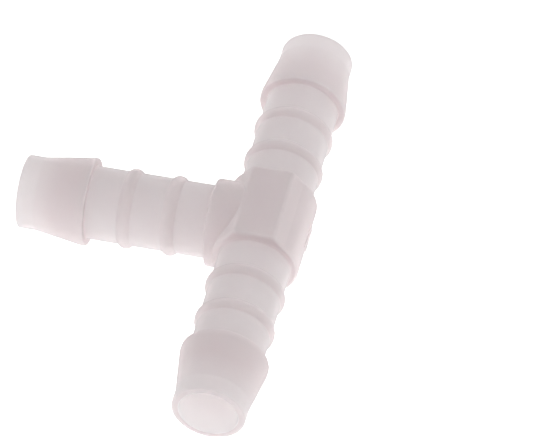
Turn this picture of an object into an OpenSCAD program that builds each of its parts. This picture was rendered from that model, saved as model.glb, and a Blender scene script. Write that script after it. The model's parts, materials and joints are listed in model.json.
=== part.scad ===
// Barbed tee connector for 13 mm irrigation hose.
// Three equal hose tails meet in a short round hub: two in line along X, one branching along +Y.
// The origin is where the two bore axes cross. Units are millimetres, +Z is up.

/* [Hose tail] */
// Diameter of the plain stem that the hose closes round
stem_d = 12.5; // [12:0.1:13.5]
// Diameter of the water way through the whole fitting
bore_d = 10; // [8:0.1:10.5]
// Length of a tail, from the hub's face to its mouth
tail_len = 32.7; // [31:0.1:40]
// Size of the small bevel round the mouth and round the barb's crown
edge_bevel = 0.3; // [0.1:0.05:0.5]

/* [Barb] */
// Diameter over the barb's crown
barb_d = 15; // [14.5:0.1:15.5]
// Length of the straight nose, from the mouth to the foot of the cone
nose_len = 3; // [2:0.1:4]
// Length of the cone that spreads the hose
cone_len = 8; // [6:0.1:10]
// Length of the crown, from the end of the cone to the square shoulder
crown_len = 0.9; // [0.7:0.1:1.5]

/* [Ribs] */
// Number of round sealing ribs behind the barb
rib_count = 2; // [0:1:2]
// Diameter over the ribs
rib_d = 13.7; // [13:0.1:14.4]
// Distance from the mouth to the middle of the first rib
first_rib = 18.6; // [17:0.1:20]
// Distance from one rib to the next
rib_pitch = 7.6; // [5:0.1:8.2]
// Radius of the rib's rounded section
rib_round = 1.75; // [1.5:0.05:2]

/* [Hub] */
// Diameter of the hub, along the run and along the branch
hub_d = 15; // [14.5:0.1:15]
// Length of the hub along the run
hub_len = 15.2; // [15.2:0.1:20]
// Distance from the run's axis to the hub's branch face
collar_end = 8.9; // [8.2:0.1:12]
// Width of the flat pads on the top and the underside
pad_w = 7.1; // [5:0.1:8]
// Height of a pad's flat above the axis, a little proud of the round hub
pad_h = 7.55; // [7.55:0.05:8]
// Angle round the hub, from its top, where the pads' sloping sides run out
slope_end = 50; // [45:1:60]

/* [Gate mark] */
// Length along the run of the mark that the mould's gate leaves on the hub's back
gate_len = 5; // [1:0.1:8]
// Width of the gate mark
gate_w = 1.4; // [0.5:0.1:3]
// Height of the gate mark above the hub's back
gate_out = 0.2; // [0.1:0.05:0.5]

/* [Hidden] */
$fn = 96;

plastic = [0.84, 0.80, 0.80];
// How far a cutting shape runs past the face that it cuts
past = 1;

stem_r = stem_d / 2;
barb_r = barb_d / 2;
hub_half = hub_len / 2;
// Foot of a pad's sloping side, a little below the hub's round surface
slope_sink = 0.1;
foot_y = (hub_d / 2 - slope_sink) * sin(slope_end);
foot_z = (hub_d / 2 - slope_sink) * cos(slope_end);
// Depth to which the gate mark's foot reaches into the wall
gate_foot = (hub_d - bore_d) / 4;
// Heights along a tail, measured from the hub's face
nose_foot = tail_len - nose_len;
cone_foot = nose_foot - cone_len;
shoulder = cone_foot - crown_len;
rib_heights = [for (i = [0 : 1 : rib_count - 1]) tail_len - first_rib - i * rib_pitch];

// Turns a shape made along +Z, so that it points along the branch
module along_branch() rotate([-90, 0, 0]) children();

// Turns a shape made along +Z, so that it points along the run: side is 1 for right, -1 for left
module along_run(side) rotate([0, 90 * side, 0]) children();

// Water way of one tail, from the crossing of the axes to beyond the mouth
module water_way() cylinder(h = collar_end + tail_len + past, d = bore_d);

// Stem, shoulder, barb and nose turned in one piece, from the hub's face to the mouth
module stem_and_barb() rotate_extrude() polygon([
    [0, 0],
    [stem_r, 0],
    [stem_r, shoulder],
    [barb_r - edge_bevel, shoulder],
    [barb_r, shoulder + edge_bevel],
    [barb_r, cone_foot],
    [stem_r, nose_foot],
    [stem_r, tail_len - edge_bevel],
    [stem_r - edge_bevel, tail_len],
    [0, tail_len]
]);

// Round rib standing out of the stem
module rib() rotate_extrude() translate([rib_d / 2 - rib_round, 0]) circle(rib_round);

// One hose tail: it stands on the hub's face at z = 0 and its mouth is at z = tail_len
module hose_tail() difference() {
    union() {
        stem_and_barb();
        for (height = rib_heights) translate([0, 0, height]) rib();
    }
    translate([0, 0, -past]) water_way();
}

// Prism that fills the hub out to the pads: a flat on the top and on the underside, with sloping sides
module pad_block() rotate([90, 0, 90]) linear_extrude(height = hub_len, center = true) polygon([
    [pad_w / 2, pad_h],
    [foot_y, foot_z],
    [foot_y, -foot_z],
    [pad_w / 2, -pad_h],
    [-pad_w / 2, -pad_h],
    [-foot_y, -foot_z],
    [-foot_y, foot_z],
    [-pad_w / 2, pad_h]
]);

// Low bar on the hub's back, at the height of the axis, where the plastic entered the mould
module gate_mark() translate([-gate_len / 2, -hub_d / 2 - gate_out, -gate_w / 2])
    cube([gate_len, gate_out + gate_foot, gate_w]);

// Round body of the hub: a barrel along the run and a collar along the branch, of one diameter
module hub_body() {
    along_run(1) cylinder(h = hub_len, d = hub_d, center = true);
    along_branch() cylinder(h = collar_end, d = hub_d);
}

module hub() color(plastic) difference() {
    union() {
        hub_body();
        pad_block();
        gate_mark();
    }
    for (side = [-1, 1]) along_run(side) water_way();
    along_branch() water_way();
}

module run_tail(side) color(plastic) along_run(side) translate([0, 0, hub_half]) hose_tail();

module run_tail_left() run_tail(-1);

module run_tail_right() run_tail(1);

module branch_tail() color(plastic) along_branch() translate([0, 0, collar_end]) hose_tail();

hub();
run_tail_left();
run_tail_right();
branch_tail();
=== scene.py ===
"""Looks of the barbed tee connector: one moulding in pale, slightly translucent plastic, on a pale floor."""

import json
import math
import bmesh
import bpy
from mathutils import Matrix, Vector
from mathutils.bvhtree import BVHTree


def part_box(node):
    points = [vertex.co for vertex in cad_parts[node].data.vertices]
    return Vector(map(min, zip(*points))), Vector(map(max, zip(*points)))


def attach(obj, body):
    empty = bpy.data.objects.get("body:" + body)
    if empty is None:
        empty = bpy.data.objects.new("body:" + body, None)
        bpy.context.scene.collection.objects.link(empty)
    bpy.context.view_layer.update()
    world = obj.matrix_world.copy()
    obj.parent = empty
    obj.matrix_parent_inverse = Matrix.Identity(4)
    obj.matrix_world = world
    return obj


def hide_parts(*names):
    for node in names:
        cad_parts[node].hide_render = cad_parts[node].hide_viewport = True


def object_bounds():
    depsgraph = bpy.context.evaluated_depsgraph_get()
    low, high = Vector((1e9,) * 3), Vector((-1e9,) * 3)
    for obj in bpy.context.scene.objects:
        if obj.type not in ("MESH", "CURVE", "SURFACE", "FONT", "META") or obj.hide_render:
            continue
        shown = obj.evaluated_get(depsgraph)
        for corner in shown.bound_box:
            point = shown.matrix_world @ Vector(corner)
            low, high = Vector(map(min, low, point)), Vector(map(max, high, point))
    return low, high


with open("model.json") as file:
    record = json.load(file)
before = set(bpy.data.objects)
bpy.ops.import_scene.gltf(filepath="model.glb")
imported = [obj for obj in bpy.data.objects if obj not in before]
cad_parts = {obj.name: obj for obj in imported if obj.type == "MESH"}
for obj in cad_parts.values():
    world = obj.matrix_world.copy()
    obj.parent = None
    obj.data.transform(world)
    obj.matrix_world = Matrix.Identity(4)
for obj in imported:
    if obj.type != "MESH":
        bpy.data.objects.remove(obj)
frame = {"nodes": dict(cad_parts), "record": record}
cad_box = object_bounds()

MM = 0.001

# Camera: the photograph's viewing angle, through a long lens that keeps the view nearly parallel
CAMERA_AZIMUTH = 284.2
CAMERA_ELEVATION = 48.97
CAMERA_ROLL = -1.40
CAMERA_DISTANCE = 0.9006
CAMERA_LENS_MM = 362.1
CAMERA_AIM = (2.82 * MM, 0.29 * MM, 0)

# Light: brightness of the surroundings, and how much and how far they dim round the camera's side
BRIGHT_LEVEL = 0.86
DIM_LEVEL = 0.54
DIM_ELEVATION = 60
DIM_REACH = 1.0
FLOOR_GLOW = 1.05
FLOOR_COLOUR = (0.4, 0.4, 0.4)
# Bounces of light, enough for it to cross the thin walls and fill the water ways
LIGHT_BOUNCES = 16

# Mesh fineness
SEGMENTS_ROUND = 128
SEGMENTS_ARC = 6
STRAIGHT_STEP = 1.5 * MM
# Points closer together than this are one point
WELD = 1e-7
# Edges sharper than this, in degrees, aren't shaded smooth
SMOOTH_LIMIT = 40
# Small overlap that keeps the faces of two joined shapes from lying in one plane
CLEAR = 0.02 * MM
# Rings of a tail that are closer together than this belong to one rib
RIB_GAP = 2 * MM
# How far a pad's sloping side runs on into the hub, as a multiple of what shows
SLOPE_REACH = 1.3

# Roundings that a moulding tool leaves, all within the CAD outline
HUB_EDGE = 0.6 * MM
COLLAR_EDGE = 0.3 * MM
ROOT_FILLET = 0.4 * MM
RIB_FOOT_FILLET = 0.3 * MM
RIB_ROUND = 1.4 * MM
RIB_SLOPE = math.radians(45)
SHOULDER_FILLET = 0.2 * MM
CROWN_EDGE = 0.3 * MM
CONE_BLEND = 3 * MM
MOUTH_EDGE = 0.35 * MM
BORE_EDGE = 0.2 * MM
CREASE_FILLET = 0.6 * MM
PAD_EDGE = 0.9 * MM
GATE_EDGE = 0.08 * MM
# Height of the fine ridge where the two halves of the mould met
PARTING_RIDGE = 0.03 * MM

# Depths of plastic between which a wall counts as thick, the depth that counts as deep, and how many times
# the measured depth is averaged with its neighbours
THICK_RANGE = (1.9 * MM, 4.1 * MM)
DEEP = 5 * MM
WALL_BLUR = 4
# Painted light and shade by depth of plastic: painted light inside the water ways, a lit tone on a thin wall,
# painted shade on a thick one, and darker, pinker painted shade where it is deep
INNER_PAINTED_LIGHT_COLOUR = (0.995, 0.995, 0.995)
THIN_LIT_COLOUR = (0.908, 0.856, 0.861)
THICK_SHADED_COLOUR = (0.865, 0.80, 0.805)
DEEP_SHADED_COLOUR = (0.79, 0.71, 0.72)
# Reach of light inside the plastic, the share that goes through it, and how strongly it bends
SCATTER_DEPTH = 1.55 * MM
CLEARNESS = 0.42
REFRACTION = 1.49
# Roughness and how far it varies to either side, then the mottling's strength, as a share of DEEP
ROUGHNESS = 0.75
ROUGHNESS_SPREAD = 0.08
MOTTLING = 0.06
# Noise scales of the mottling, the roughness and the grain, then the grain's strength and height
MOTTLING_SCALE = 180
ROUGHNESS_SCALE = 900
GRAIN_SCALE = 5000
GRAIN_STRENGTH = 0.12
GRAIN_HEIGHT = 0.02 * MM
# Half the floor's width, in metres
FLOOR_HALF = 2.0


# ---------------------------------------------------------------- sizes, read from the frame

def read_tail(hub_face):
    """Reads a CAD tail's outline from its rings of points: where each feature lies, from the hub's face."""
    rings = {}
    for vertex in frame["nodes"]["run_tail_right"].data.vertices:
        place = round(vertex.co.x - hub_face, 6)
        rings[place] = max(rings.get(place, 0), math.hypot(vertex.co.y, vertex.co.z))
    barb_r = max(rings.values())
    crown = [place for place in rings if rings[place] > barb_r - CLEAR]
    shoulder = max(place for place in rings if place < min(crown))
    nose_foot = min(place for place in rings if place > max(crown) and rings[place] < stem_r + CLEAR)
    raised = sorted(p for p in rings if p < shoulder and rings[p] > stem_r + CLEAR)
    ribs = []
    for place in raised:
        if not ribs or place - ribs[-1][-1] > RIB_GAP:
            ribs.append([])
        ribs[-1].append(place)
    rib_r = max(rings[place] for place in raised)
    return {
        "barb_r": barb_r,
        "shoulder": shoulder,
        "crown_end": max(crown),
        "nose_foot": nose_foot,
        "ribs": [(group[0] + group[-1]) / 2 for group in ribs],
        "rib_r": rib_r,
    }


mounts = {mount["name"]: mount for mount in frame["record"]["mounts"]}
bore_r = mounts["run_bore"]["dims"]["r_mm"] * MM
stem_r = mounts["right_spigot"]["dims"]["r_mm"] * MM
pad_height = mounts["top_pad"]["pos_m"][2]
hub_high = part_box("hub")[1]
hub_half, collar_end = hub_high[:2]
tail_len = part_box("run_tail_right")[1].x - hub_half
hub_points = [vertex.co for vertex in frame["nodes"]["hub"].data.vertices]
hub_r = max(math.hypot(point.x, point.z) for point in hub_points if point.y > collar_end - CLEAR)
pad_half_w = max(point.y for point in hub_points if point.z > pad_height - CLEAR)
beside_pad = [point for point in hub_points if point.x > hub_half - CLEAR and point.y > pad_half_w + CLEAR]
slope_end = max(beside_pad, key=lambda point: point.z)
slope_foot = Vector((pad_half_w, pad_height)).lerp(slope_end.yz, SLOPE_REACH)
gate_points = [point for point in hub_points if point.y < -hub_r - CLEAR]
gate_half_x, gate_half_z = (max(point[axis] for point in gate_points) for axis in (0, 2))
gate_high = Vector((gate_half_x, -hub_r + MM, gate_half_z))
gate_low = Vector((-gate_high.x, cad_box[0].y, -gate_high.z))
tail = read_tail(hub_half)


# ---------------------------------------------------------------- outlines

def rounded(corners):
    """Turns corners (place, radius, rounding) into an outline whose corners are arcs."""
    points = []
    for i, (place, radius, rounding) in enumerate(corners):
        here = Vector((place, radius))
        if rounding == 0 or i in (0, len(corners) - 1):
            points.append(here)
            continue
        back = (Vector(corners[i - 1][:2]) - here).normalized()
        ahead = (Vector(corners[i + 1][:2]) - here).normalized()
        half_angle = back.angle(ahead) / 2
        start = here + back * rounding / math.tan(half_angle)
        centre = here + (back + ahead).normalized() * rounding / math.sin(half_angle)
        sweep = (start - centre).angle_signed(here + ahead * (start - here).length - centre)
        for step in range(SEGMENTS_ARC + 1):
            turn = Matrix.Rotation(-sweep * step / SEGMENTS_ARC, 2)
            points.append(centre + turn @ (start - centre))
    return points


def stepped(points):
    """Adds points along long straights, so that the turned faces stay small."""
    full = [points[0]]
    for start, end in zip(points, points[1:]):
        steps = max(1, round((end - start).length / STRAIGHT_STEP))
        full += [start.lerp(end, step / steps) for step in range(1, steps + 1)]
    return full


def rib_corners(place):
    """A rib's corners: two feet on the stem, and a peak that its rounding brings down to the rib's height."""
    peak = tail["rib_r"] - stem_r + RIB_ROUND * (1 / math.cos(RIB_SLOPE) - 1)
    foot = peak / math.tan(RIB_SLOPE)
    return [
        (place - foot, stem_r, RIB_FOOT_FILLET),
        (place, stem_r + peak, RIB_ROUND),
        (place + foot, stem_r, RIB_FOOT_FILLET),
    ]


def tail_corners(face):
    """Outside of one hose tail, from its root on the hub's face to the middle of its mouth."""
    corners = [(face, stem_r, ROOT_FILLET)]
    for place in tail["ribs"]:
        corners += rib_corners(face + place)
    corners += [
        (face + tail["shoulder"], stem_r, SHOULDER_FILLET),
        (face + tail["shoulder"], tail["barb_r"], CROWN_EDGE),
        (face + tail["crown_end"], tail["barb_r"], CONE_BLEND),
        (face + tail["nose_foot"], stem_r, CONE_BLEND),
        (face + tail_len, stem_r, MOUTH_EDGE),
        (face + tail_len, bore_r / 2, 0),
    ]
    return corners


def mirrored(half):
    """Adds an outline's mirror image on the other side of its first point."""
    return [Vector((-point.x, point.y)) for point in reversed(half[1:])] + half


def run_outline():
    """Outside of the run, from its left mouth to its right one."""
    right = [(0, hub_r, 0), (hub_half, hub_r, HUB_EDGE)] + tail_corners(hub_half)
    return mirrored(stepped(rounded(right)))


def branch_outline():
    """Outside of the branch, from the crossing of the axes to its mouth."""
    return stepped(rounded([(0, hub_r, 0), (collar_end, hub_r, COLLAR_EDGE)] + tail_corners(collar_end)))


def bore_outline(face):
    """One tail's water way as a cutter, from the crossing of the axes to past the mouth's round lip."""
    lip = face + tail_len + CLEAR
    flare = bore_r + 2 * BORE_EDGE
    return stepped(rounded([(0, bore_r, 0), (lip, bore_r, BORE_EDGE), (lip, flare, 0), (lip + MM, flare, 0)]))


# ---------------------------------------------------------------- solids

def turned(name, outline, turn, ridge=0.0):
    """A closed solid turned from an outline round X, with a ridge at the parting plane, put into place."""
    mesh = bmesh.new()
    rings = []
    for point in outline:
        ring = []
        for i in range(SEGMENTS_ROUND):
            angle = 2 * math.pi * i / SEGMENTS_ROUND
            radius = point.y + (0 if i % (SEGMENTS_ROUND // 2) == 0 else -ridge)
            ring.append(mesh.verts.new((point.x, radius * math.cos(angle), radius * math.sin(angle))))
        rings.append(ring)
    for low, high in zip(rings, rings[1:]):
        for i in range(SEGMENTS_ROUND):
            j = (i + 1) % SEGMENTS_ROUND
            mesh.faces.new((low[i], low[j], high[j], high[i]))
    mesh.faces.new(rings[0])
    mesh.faces.new(rings[-1])
    bmesh.ops.transform(mesh, matrix=turn, verts=mesh.verts)
    return solid(name, mesh)


def pads():
    """One closed prism for both pads: sloping sides, rounded edges, and the hub's rounding at its ends."""
    quarter = rounded([(0, pad_height, 0), (pad_half_w, pad_height, PAD_EDGE), (*slope_foot, 0)])[1:]
    half = quarter + [(y, -z) for y, z in reversed(quarter)]
    section = half + [(-y, -z) for y, z in half]
    stations = []
    for i in range(SEGMENTS_ARC + 1):
        turn = math.radians(90) * i / SEGMENTS_ARC
        place = hub_half - CLEAR - HUB_EDGE * (1 - math.sin(turn))
        stations.append((place, 1 - HUB_EDGE * (1 - math.cos(turn)) / hub_r))
    stations = [(-place, size) for place, size in reversed(stations)] + stations
    mesh = bmesh.new()
    rings = [[mesh.verts.new((x, y * size, z * size)) for y, z in section] for x, size in stations]
    for end in (rings[0], rings[-1]):
        mesh.faces.new(end)
    for first, second in zip(rings, rings[1:]):
        for k in range(len(section)):
            mesh.faces.new((first[k - 1], first[k], second[k], second[k - 1]))
    return solid("pads", mesh)


def gate_mark():
    """The low closed bar on the hub's back, with rounded edges."""
    mesh = bmesh.new()
    bmesh.ops.create_cube(mesh, size=1)
    for vertex in mesh.verts:
        vertex.co = Vector(gate_high[i] if vertex.co[i] > 0 else gate_low[i] for i in range(3))
    bmesh.ops.bevel(mesh, geom=mesh.edges[:], offset=GATE_EDGE, segments=3, profile=0.5, affect="EDGES")
    return solid("gate_mark", mesh)


def solid(name, mesh):
    """Makes an object from a bmesh, with its normals pointing out."""
    bmesh.ops.recalc_face_normals(mesh, faces=mesh.faces)
    data = bpy.data.meshes.new(name)
    mesh.to_mesh(data)
    mesh.free()
    made = bpy.data.objects.new(name, data)
    bpy.context.scene.collection.objects.link(made)
    return made


def applied(piece):
    """Replaces a piece's mesh by the one its modifiers give."""
    graph = bpy.context.evaluated_depsgraph_get()
    data = bpy.data.meshes.new_from_object(piece.evaluated_get(graph))
    piece.modifiers.clear()
    piece.data = data


def combine(piece, tool, operation):
    """Joins the tool to the piece, or cuts it out, and removes the tool."""
    step = piece.modifiers.new(operation, "BOOLEAN")
    step.operation = operation
    step.solver = "EXACT"
    step.object = tool
    applied(piece)
    bpy.data.objects.remove(tool)


def fillet_creases(piece):
    """Rounds the creases where the run's barrel meets the branch's collar, in the planes y = x and y = -x."""
    mesh = bmesh.new()
    mesh.from_mesh(piece.data)
    bmesh.ops.remove_doubles(mesh, verts=mesh.verts, dist=WELD)
    creases = []
    for edge in mesh.edges:
        on_plane = all(abs(abs(v.co.x) - v.co.y) < CLEAR for v in edge.verts)
        beyond_pad = min(v.co.y for v in edge.verts) > pad_half_w / 2
        if on_plane and beyond_pad and edge.calc_face_angle(0) > math.radians(20):
            creases.append(edge)
    bmesh.ops.bevel(
        mesh, geom=creases, offset=CREASE_FILLET, segments=5, profile=0.5, affect="EDGES", clamp_overlap=True
    )
    mesh.to_mesh(piece.data)
    mesh.free()


def smooth(piece):
    """Smooth shading that keeps edges sharper than SMOOTH_LIMIT."""
    mesh = bmesh.new()
    mesh.from_mesh(piece.data)
    bmesh.ops.remove_doubles(mesh, verts=mesh.verts, dist=WELD)
    bmesh.ops.dissolve_degenerate(mesh, edges=mesh.edges, dist=WELD)
    for face in mesh.faces:
        face.smooth = True
    for edge in mesh.edges:
        edge.smooth = edge.calc_face_angle(0) < math.radians(SMOOTH_LIMIT)
    mesh.to_mesh(piece.data)
    mesh.free()
    weighted = piece.modifiers.new("weighted normals", "WEIGHTED_NORMAL")
    weighted.keep_sharp = True
    weighted.weight = 60


def from_water_way(point):
    """Distance of a point from the nearest water way's axis."""
    from_run = math.hypot(point.y, point.z)
    from_branch = Vector((point.x, min(point.y, 0), point.z)).length
    return min(from_run, from_branch)


def measure_walls(piece):
    """Stores the depth of plastic under each point, as "wall", the mask for the painted light and shade: 0
    inside the water ways, 1 at DEEP or more.
    """
    mesh = piece.data
    tree = BVHTree.FromPolygons([v.co for v in mesh.vertices], [face.vertices for face in mesh.polygons])
    inside = [from_water_way(vertex.co) < bore_r + BORE_EDGE / 2 for vertex in mesh.vertices]
    walls = []
    for vertex in mesh.vertices:
        inward = -vertex.normal
        depth = tree.ray_cast(vertex.co + inward * CLEAR, inward, DEEP)[3]
        walls.append(0.0 if inside[vertex.index] else 1.0 if depth is None else depth / DEEP)
    for _ in range(WALL_BLUR):
        total, count = walls[:], [1] * len(walls)
        for edge in mesh.edges:
            first, second = edge.vertices
            if inside[first] == inside[second]:
                total[first] += walls[second]
                total[second] += walls[first]
                count[first] += 1
                count[second] += 1
        walls = [whole / number for whole, number in zip(total, count)]
    mesh.attributes.new("wall", "FLOAT", "POINT").data.foreach_set("value", walls)


def make_tee():
    """The whole moulding: barrel, collar and tails turned, joined, filleted, given pads and bored through."""
    along_x = Matrix.Identity(4)
    along_y = Matrix.Rotation(math.radians(90), 4, "Z")
    tee = turned("tee_moulding", run_outline(), along_x, PARTING_RIDGE)
    combine(tee, turned("branch", branch_outline(), along_y, PARTING_RIDGE), "UNION")
    fillet_creases(tee)
    combine(tee, pads(), "UNION")
    combine(tee, gate_mark(), "UNION")
    combine(tee, turned("run_bore", mirrored(bore_outline(hub_half)), along_x), "DIFFERENCE")
    combine(tee, turned("branch_bore", bore_outline(collar_end), along_y), "DIFFERENCE")
    smooth(tee)
    measure_walls(tee)
    return tee


# ---------------------------------------------------------------- materials

def natural_plastic():
    """Pale, milky, matt plastic, faintly mottled, whose colour paints shade, darker and pinker, where it is
    deep, and paints light inside the water ways.
    """
    material = bpy.data.materials.new("natural_plastic")
    material.use_nodes = True
    nodes, links = material.node_tree.nodes, material.node_tree.links
    shader = nodes["Principled BSDF"]
    shader.inputs["Subsurface Weight"].default_value = 1.0
    shader.inputs["Subsurface Radius"].default_value = (1.0, 1.0, 1.0)
    shader.inputs["Subsurface Scale"].default_value = SCATTER_DEPTH
    shader.inputs["IOR"].default_value = REFRACTION
    shader.inputs["Transmission Weight"].default_value = CLEARNESS

    def node(kind, inputs, **settings):
        """Adds a node, with inputs that are either other nodes' outputs to link or plain values."""
        made = nodes.new(kind)
        for name, value in settings.items():
            setattr(made, name, value)
        for key, value in inputs.items():
            if isinstance(value, bpy.types.NodeSocket):
                links.new(value, made.inputs[key])
            else:
                made.inputs[key].default_value = value
        return made

    place = node("ShaderNodeTexCoord", {}).outputs["Object"]

    def noise(scale, detail):
        return node("ShaderNodeTexNoise", {"Vector": place, "Scale": scale, "Detail": detail}).outputs["Fac"]

    wall = node("ShaderNodeAttribute", {}, attribute_name="wall").outputs["Fac"]
    spots = noise(MOTTLING_SCALE, 3)
    mottling = node("ShaderNodeMapRange", {"Value": spots, "To Min": -MOTTLING, "To Max": MOTTLING})
    mottled_depth = node("ShaderNodeMath", {0: mottling.outputs["Result"], 1: wall}, operation="ADD").outputs[0]
    # Painted light and shade: the base colour runs from near white inside the water ways to darker and pinker
    # where the plastic is deep, standing in for light that passes through thin walls and is lost in thick
    # ones.
    depth_light_and_shade = node("ShaderNodeValToRGB", {"Fac": mottled_depth})
    depth_light_and_shade.color_ramp.elements[0].color = (*INNER_PAINTED_LIGHT_COLOUR, 1)
    depth_light_and_shade.color_ramp.elements[1].color = (*DEEP_SHADED_COLOUR, 1)
    depth_light_and_shade.color_ramp.elements.new((stem_r - bore_r) / DEEP).color = (*THIN_LIT_COLOUR, 1)
    for depth in THICK_RANGE:
        depth_light_and_shade.color_ramp.elements.new(depth / DEEP).color = (*THICK_SHADED_COLOUR, 1)
    links.new(depth_light_and_shade.outputs["Color"], shader.inputs["Base Color"])

    smoothest, roughest = ROUGHNESS - ROUGHNESS_SPREAD, ROUGHNESS + ROUGHNESS_SPREAD
    varied = noise(ROUGHNESS_SCALE, 4)
    sheen = node("ShaderNodeMapRange", {"Value": varied, "To Min": smoothest, "To Max": roughest})
    links.new(sheen.outputs["Result"], shader.inputs["Roughness"])
    pits = noise(GRAIN_SCALE, 2)
    grain = node("ShaderNodeBump", {"Strength": GRAIN_STRENGTH, "Distance": GRAIN_HEIGHT, "Height": pits})
    links.new(grain.outputs["Normal"], shader.inputs["Normal"])
    return material


def floor_material():
    """Pale floor that glows a little, as a light table does."""
    material = bpy.data.materials.new("pale_floor")
    material.use_nodes = True
    shader = material.node_tree.nodes["Principled BSDF"]
    shader.inputs["Base Color"].default_value = (*FLOOR_COLOUR, 1)
    shader.inputs["Roughness"].default_value = 0.9
    shader.inputs["Specular IOR Level"].default_value = 0.0
    shader.inputs["Emission Color"].default_value = (1, 1, 1, 1)
    shader.inputs["Emission Strength"].default_value = FLOOR_GLOW
    return material


# ---------------------------------------------------------------- studio

def make_floor():
    """A square floor at the height of the part's lowest point."""
    data = bpy.data.meshes.new("floor")
    corners = [(-1, -1), (1, -1), (1, 1), (-1, 1)]
    points = [(x * FLOOR_HALF, y * FLOOR_HALF, cad_box[0].z) for x, y in corners]
    data.from_pydata(points, [], [(0, 1, 2, 3)])
    made = bpy.data.objects.new("floor", data)
    bpy.context.scene.collection.objects.link(made)
    data.materials.append(floor_material())


def direction(azimuth, elevation):
    """Unit vector towards a viewer at this azimuth and elevation, in degrees."""
    azimuth, elevation = math.radians(azimuth), math.radians(elevation)
    level = Vector((math.sin(azimuth), -math.cos(azimuth), 0))
    return level * math.cos(elevation) + Vector((0, 0, math.sin(elevation)))


def make_world():
    """White surroundings, dimmer on the side that the camera takes up."""
    world = bpy.data.worlds.new("studio")
    bpy.context.scene.world = world
    world.use_nodes = True
    nodes, links = world.node_tree.nodes, world.node_tree.links
    place = nodes.new("ShaderNodeTexCoord")
    towards = nodes.new("ShaderNodeVectorMath")
    towards.operation = "DOT_PRODUCT"
    towards.inputs[1].default_value = direction(CAMERA_AZIMUTH, DIM_ELEVATION)
    ramp = nodes.new("ShaderNodeValToRGB")
    ramp.color_ramp.elements[0].position = 0.0
    ramp.color_ramp.elements[0].color = (*(BRIGHT_LEVEL,) * 3, 1)
    ramp.color_ramp.elements[1].position = DIM_REACH
    ramp.color_ramp.elements[1].color = (*(DIM_LEVEL,) * 3, 1)
    links.new(place.outputs["Generated"], towards.inputs[0])
    links.new(towards.outputs["Value"], ramp.inputs["Fac"])
    links.new(ramp.outputs["Color"], nodes["Background"].inputs["Color"])
    nodes["Background"].inputs["Strength"].default_value = 1.0
    bpy.context.scene.view_settings.view_transform = "Standard"
    bpy.context.scene.cycles.max_bounces = LIGHT_BOUNCES
    bpy.context.scene.cycles.diffuse_bounces = LIGHT_BOUNCES


def make_camera():
    """The photograph's view: from the left mouth's side, looking down along the run."""
    back = direction(CAMERA_AZIMUTH, CAMERA_ELEVATION)
    camera = bpy.data.objects.new("camera", bpy.data.cameras.new("camera"))
    bpy.context.scene.collection.objects.link(camera)
    camera.data.lens = CAMERA_LENS_MM
    camera.data.clip_end = 10
    upright = (-back).to_track_quat("-Z", "Y").to_matrix().to_4x4()
    camera.matrix_world = (
        Matrix.Translation(Vector(CAMERA_AIM) + back * CAMERA_DISTANCE)
        @ upright
        @ Matrix.Rotation(math.radians(CAMERA_ROLL), 4, "Z")
    )
    bpy.context.scene.camera = camera


# ---------------------------------------------------------------- the scene

make_camera()
tee = make_tee()
tee.data.materials.append(natural_plastic())
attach(tee, "root")
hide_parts("hub", "run_tail_left", "run_tail_right", "branch_tail")
make_floor()
make_world()
